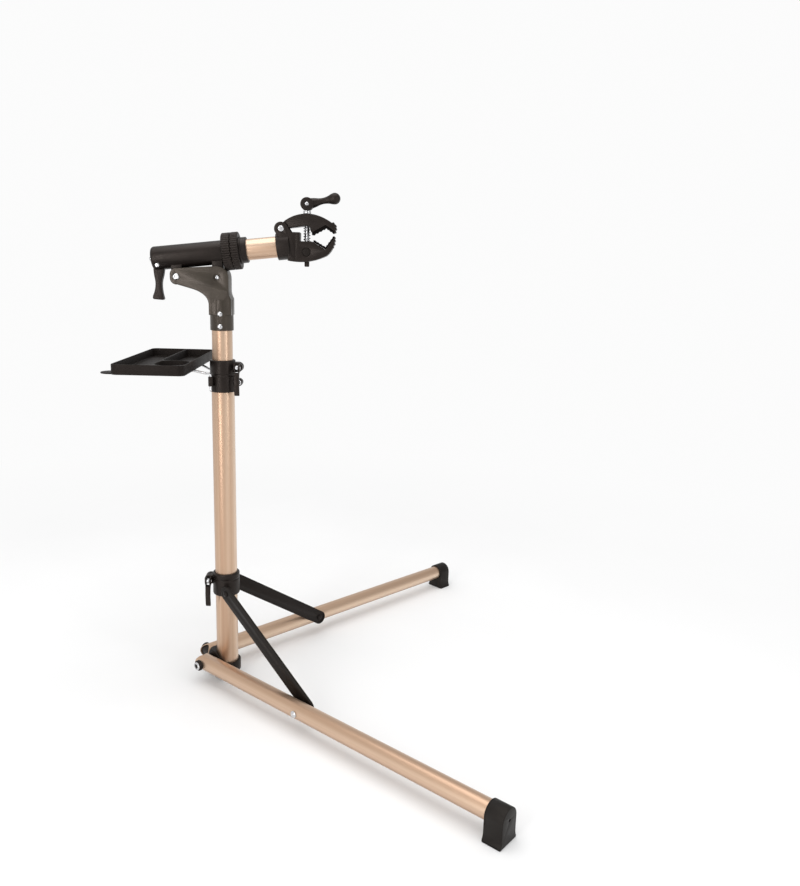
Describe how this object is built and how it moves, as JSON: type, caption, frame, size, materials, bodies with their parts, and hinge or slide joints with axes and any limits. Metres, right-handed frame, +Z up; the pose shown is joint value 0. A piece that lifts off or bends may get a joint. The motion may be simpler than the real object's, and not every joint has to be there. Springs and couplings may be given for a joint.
{
  "type": "bike repair stand",
  "caption": "Folding bicycle repair stand: telescoping mast, two folding legs with struts, hooked tool tray and a turning clamp head with screw jaws.",
  "frame": {"origin": "centre of the mast's base cap, on the floor", "axes": "+Z up the mast; +X along the clamp arm, towards the jaws and between the legs; +Y to the rear leg's side"},
  "size_m": [0.731, 1.0904, 1.0054],
  "materials": {
    "champagne_aluminium": "satin anodised",
    "black_steel": "satin powder coat",
    "black_plastic": "fine moulded texture",
    "black_rubber": "matt",
    "chromed_steel": "bright"
  },
  "bodies": {
    "mast": {"lower_mast_tube": "champagne_aluminium", "base_cap": "black_rubber", "base_bracket": "black_steel", "leg_bolt_front": "chromed_steel", "leg_bolt_rear": "chromed_steel", "leg_spacer_front": "black_plastic", "leg_spacer_rear": "black_plastic", "mast_collar": "black_plastic", "mast_bush": "black_plastic", "collar_screw": "chromed_steel", "mast_clamp_bolt": "chromed_steel", "mast_clamp_nut": "black_plastic", "mast_lever_pin": "chromed_steel"},
    "leg_front": {"leg_tube_front": "champagne_aluminium", "leg_plug_front": "black_plastic", "foot_front": "black_rubber", "strut_bolt_front": "chromed_steel"},
    "leg_rear": {"leg_tube_rear": "champagne_aluminium", "leg_plug_rear": "black_plastic", "foot_rear": "black_rubber", "strut_bolt_rear": "chromed_steel"},
    "fold_collar": {"fold_collar": "black_plastic", "strut_pin_front": "black_steel", "strut_pin_rear": "black_steel", "fold_clamp_bolt": "chromed_steel", "fold_clamp_nut": "black_plastic", "fold_lever_pin": "chromed_steel"},
    "strut_front": {"strut_front": "black_steel", "strut_rivet_front": "black_steel"},
    "strut_rear": {"strut_rear": "black_steel", "strut_rivet_rear": "black_steel"},
    "fold_lever": {"fold_lever": "black_plastic"},
    "mast_lever": {"mast_lever": "black_plastic"},
    "tray": {"tray_tub": "black_plastic", "tray_wire": "chromed_steel"},
    "upper_mast": {"upper_mast_tube": "champagne_aluminium", "upper_tube_plug": "black_plastic", "head_bracket": "black_steel", "sleeve_rivet_upper": "chromed_steel", "sleeve_rivet_lower": "chromed_steel", "head_bolt_left": "chromed_steel", "head_bolt_right": "chromed_steel", "head_barrel": "black_plastic", "fixed_ring": "black_plastic", "cam_lever_pin": "chromed_steel"},
    "cam_lever": {"cam_lever": "black_plastic"},
    "draw_rod": {"draw_rod": "chromed_steel"},
    "arm": {"turning_ring": "black_plastic", "arm_tube": "champagne_aluminium", "lower_jaw": "black_plastic", "lower_pad": "black_rubber", "hinge_pin": "chromed_steel", "screw_nut": "black_steel", "jaw_spring": "chromed_steel"},
    "upper_jaw": {"upper_jaw": "black_plastic", "upper_pad": "black_rubber"},
    "screw_carrier": {"thrust_washer": "chromed_steel"},
    "screw": {"jaw_screw": "chromed_steel", "crank_pin": "chromed_steel"},
    "crank": {"crank_handle": "black_plastic"}
  },
  "joints": [
    {"name": "leg_fold", "type": "hinge", "parent": "mast", "child": "leg_front", "pos_m": [-0.04, -0.026, 0.042], "axis": [-0.6691, -0.7431, 0], "range_deg": [0, 65.5]},
    {"name": "rear_leg_fold", "type": "hinge", "parent": "mast", "child": "leg_rear", "pos_m": [-0.04, 0.026, 0.042], "axis": [0.6691, -0.7431, 0], "range_deg": [0, 65.5]},
    {"name": "fold_collar_slide", "type": "slide", "parent": "mast", "child": "fold_collar", "axis": [0, 0, 1], "range_m": [0, 0.37832]},
    {"name": "front_strut_turn", "type": "hinge", "parent": "fold_collar", "child": "strut_front", "pos_m": [0.00653, -0.04058, 0.203], "axis": [0.6691, 0.7431, 0], "range_deg": [0, 41.44]},
    {"name": "rear_strut_turn", "type": "hinge", "parent": "fold_collar", "child": "strut_rear", "pos_m": [0.00653, 0.04058, 0.203], "axis": [-0.6691, 0.7431, 0], "range_deg": [0, 41.44]},
    {"name": "fold_lever_turn", "type": "hinge", "parent": "fold_collar", "child": "fold_lever", "pos_m": [-0.034, -0.0196, 0.222], "axis": [-1, 0, 0], "range_deg": [0, 110]},
    {"name": "mast_lever_turn", "type": "hinge", "parent": "mast", "child": "mast_lever", "pos_m": [0.031, -0.0196, 0.667], "axis": [-1, 0, 0], "range_deg": [0, 110]},
    {"name": "tray_lift", "type": "slide", "parent": "mast", "child": "tray", "axis": [0, 0, 1], "range_m": [0, 0.05]},
    {"name": "mast_slide", "type": "slide", "parent": "mast", "child": "upper_mast", "axis": [0, 0, 1], "range_m": [0, 0.45]},
    {"name": "head_release", "type": "slide", "parent": "upper_mast", "child": "draw_rod", "axis": [0.9925, 0, 0.1219], "range_m": [0, 0.0024]},
    {"name": "cam_lever_turn", "type": "hinge", "parent": "upper_mast", "child": "cam_lever", "pos_m": [-0.1175, 0, 0.8605], "axis": [0, 1, 0], "range_deg": [0, 45]},
    {"name": "head_turn", "type": "hinge", "parent": "draw_rod", "child": "arm", "pos_m": [0, 0, 0.888], "axis": [0.9925, 0, 0.1219], "continuous": true},
    {"name": "jaw_open", "type": "hinge", "parent": "arm", "child": "upper_jaw", "pos_m": [0.1172, 0, 0.935], "axis": [0, -1, 0], "range_deg": [0, 14], "deforming": ["jaw_spring"]},
    {"name": "screw_lift", "type": "slide", "parent": "arm", "child": "screw_carrier", "axis": [0, 0, 1], "range_m": [0, 0.016]},
    {"name": "screw_turn", "type": "hinge", "parent": "screw_carrier", "child": "screw", "pos_m": [0.1655, 0, 0.98], "axis": [0, 0, 1], "range_deg": [0, 480]},
    {"name": "crank_flip", "type": "hinge", "parent": "screw", "child": "crank", "pos_m": [0.1655, 0, 0.9826], "axis": [0, -1, 0], "range_deg": [-8, 80]}
  ],
  "couplings": [
    {"joint": "rear_leg_fold", "follows": "leg_fold", "ratio": 1},
    {"joint": "fold_collar_slide", "follows": "leg_fold", "m_per_rad": 0.33093},
    {"joint": "front_strut_turn", "follows": "leg_fold", "ratio": 0.63269},
    {"joint": "rear_strut_turn", "follows": "leg_fold", "ratio": 0.63269},
    {"joint": "cam_lever_turn", "follows": "head_release", "rad_per_m": 327.24},
    {"joint": "screw_lift", "follows": "jaw_open", "m_per_rad": 0.06548},
    {"joint": "screw_turn", "follows": "jaw_open", "ratio": 34.286}
  ]
}
